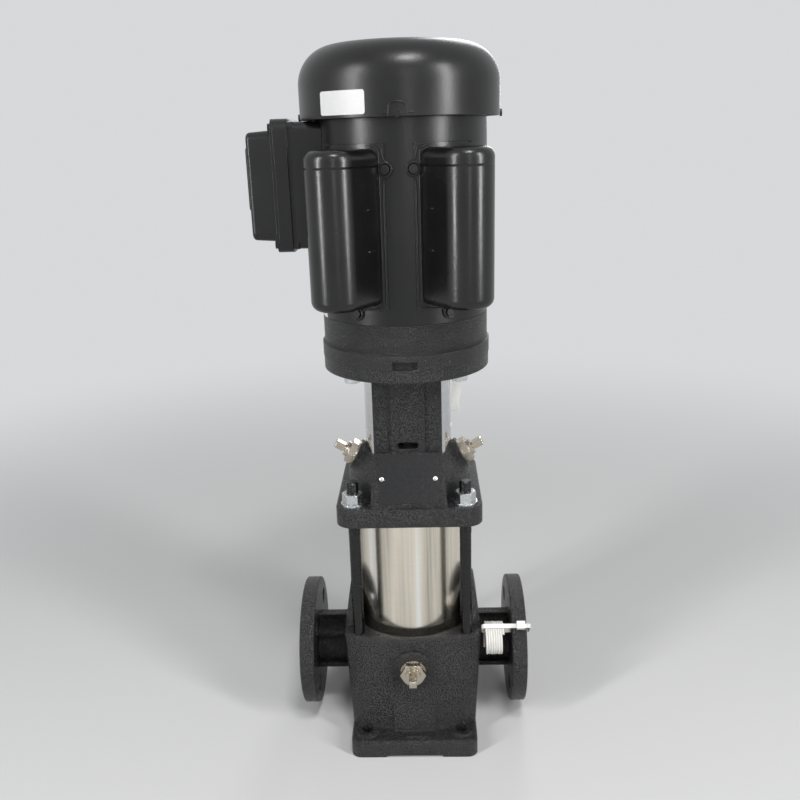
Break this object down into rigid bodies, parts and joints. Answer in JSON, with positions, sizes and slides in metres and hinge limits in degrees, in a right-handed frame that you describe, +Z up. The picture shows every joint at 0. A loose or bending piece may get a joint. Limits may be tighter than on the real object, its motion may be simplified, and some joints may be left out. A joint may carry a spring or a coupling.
{
  "type": "vertical multistage pump",
  "caption": "Vertical in-line multistage pump with flanged ports, stainless sleeve, staybolts, motor stool with coupling guards and a single-phase motor with capacitor covers",
  "frame": {"origin": "on the pump axis at the underside of the foot, where it stands on its foundation", "axes": "+Z up along the shaft, -Y the front with the drain plug and nameplate, +X the discharge flange, -X the suction flange"},
  "size_m": [0.274, 0.2265, 0.714],
  "materials": {
    "cast_black": "black paint over sand-cast iron",
    "satin_black": "satin black powder coat on pressed steel",
    "cover_black": "semi-gloss black paint on deep-drawn steel",
    "sleeve_steel": "stainless, brushed around",
    "guard_steel": "bright rolled stainless sheet",
    "rod_black": "blackened steel rod",
    "zinc": "bright zinc plate",
    "plug_steel": "warm stainless, turned",
    "shaft_steel": "ground steel",
    "wet_steel": "pressed stainless",
    "seal_black": "lapped carbide",
    "o_ring": "soft black rubber",
    "plate_black": "black anodised plate, bare",
    "lamination": "blued electrical steel",
    "winding": "varnished copper winding",
    "rotor_grey": "cast aluminium and steel laminations",
    "fan_plastic": "moulded fan",
    "capacitor_case": "plain can",
    "cord_white": "ivory cord",
    "tie_white": "white nylon"
  },
  "bodies": {
    "casing": {"base_casting": "cast_black", "outer_sleeve": "sleeve_steel", "sleeve_o_rings": "o_ring", "staybolts": "rod_black", "staybolt_washers": "zinc", "staybolt_nuts": "zinc", "pump_head": "cast_black", "nameplate": "plate_black", "coupling_guard_left": "guard_steel", "coupling_guard_right": "guard_steel", "screw_plugs": "plug_steel", "plug_washers": "plug_steel", "inlet_part": "wet_steel", "chamber_1": "wet_steel", "chamber_2": "wet_steel", "chamber_3": "wet_steel", "chamber_4": "wet_steel", "chamber_straps": "wet_steel", "seal_nut": "plug_steel", "seal_seat": "seal_black", "drive_end_bell": "satin_black", "motor_shell": "satin_black", "fan_end_bell": "satin_black", "stator_core": "lamination", "stator_windings": "winding", "motor_bolts": "zinc", "bearing_outer_rings": "shaft_steel", "fan_cover": "satin_black", "fan_cover_screws": "satin_black", "capacitor_cover_left": "cover_black", "capacitor_cover_right": "cover_black", "capacitors": "capacitor_case", "capacitor_screws": "satin_black", "terminal_box": "satin_black", "terminal_box_lid": "satin_black", "terminal_box_screws": "satin_black", "cord_coil": "cord_white", "cable_tie": "tie_white"},
    "rotor": {"pump_shaft": "shaft_steel", "impeller_1": "wet_steel", "impeller_2": "wet_steel", "impeller_3": "wet_steel", "impeller_4": "wet_steel", "seal_ring": "seal_black", "seal_spring": "wet_steel", "coupling_half_front": "shaft_steel", "coupling_half_back": "shaft_steel", "coupling_screws": "zinc", "motor_shaft": "shaft_steel", "rotor_core": "rotor_grey", "bearing_inner_rings": "shaft_steel", "cooling_fan": "fan_plastic"},
    "bearing_cage_set": {"bearing_cages": "shaft_steel"},
    "bypass_spindle_ring_body": {"bypass_spindle_o_ring": "o_ring"},
    "bypass_spindle_body": {"bypass_spindle": "plug_steel"},
    "vent_spindle_left_ring_body": {"vent_spindle_left_o_ring": "o_ring"},
    "vent_spindle_left_body": {"vent_spindle_left": "plug_steel"},
    "vent_spindle_right_ring_body": {"vent_spindle_right_o_ring": "o_ring"},
    "vent_spindle_right_body": {"vent_spindle_right": "plug_steel"}
  },
  "joints": [
    {"name": "shaft_spin", "type": "hinge", "parent": "casing", "child": "rotor", "pos_m": [0, 0, 0.4], "axis": [0, 0, 1], "continuous": true},
    {"name": "cage_spin", "type": "hinge", "parent": "casing", "child": "bearing_cage_set", "pos_m": [0, 0, 0.4], "axis": [0, 0, 1], "continuous": true},
    {"name": "bypass_spindle_travel", "type": "slide", "parent": "casing", "child": "bypass_spindle_ring_body", "axis": [0, -1, 0], "range_m": [0, 0.0025]},
    {"name": "bypass_spindle_turn", "type": "hinge", "parent": "bypass_spindle_ring_body", "child": "bypass_spindle_body", "pos_m": [0, -0.08, 0.085], "axis": [0, -1, 0], "range_deg": [0, 720]},
    {"name": "vent_spindle_left_travel", "type": "slide", "parent": "casing", "child": "vent_spindle_left_ring_body", "axis": [-0.866, 0, 0.5], "range_m": [0, 0.0025]},
    {"name": "vent_spindle_left_turn", "type": "hinge", "parent": "vent_spindle_left_ring_body", "child": "vent_spindle_left_body", "pos_m": [-0.057, 0, 0.304], "axis": [-0.866, 0, 0.5], "range_deg": [0, 720]},
    {"name": "vent_spindle_right_travel", "type": "slide", "parent": "casing", "child": "vent_spindle_right_ring_body", "axis": [0.866, 0, 0.5], "range_m": [0, 0.0025]},
    {"name": "vent_spindle_right_turn", "type": "hinge", "parent": "vent_spindle_right_ring_body", "child": "vent_spindle_right_body", "pos_m": [0.057, 0, 0.304], "axis": [0.866, 0, 0.5], "range_deg": [0, 720]}
  ],
  "couplings": [
    {"joint": "cage_spin", "follows": "shaft_spin", "ratio": 0.39},
    {"joint": "bypass_spindle_travel", "follows": "bypass_spindle_turn", "m_per_rad": 0.00019894},
    {"joint": "vent_spindle_left_travel", "follows": "vent_spindle_left_turn", "m_per_rad": 0.00019894},
    {"joint": "vent_spindle_right_travel", "follows": "vent_spindle_right_turn", "m_per_rad": 0.00019894}
  ]
}
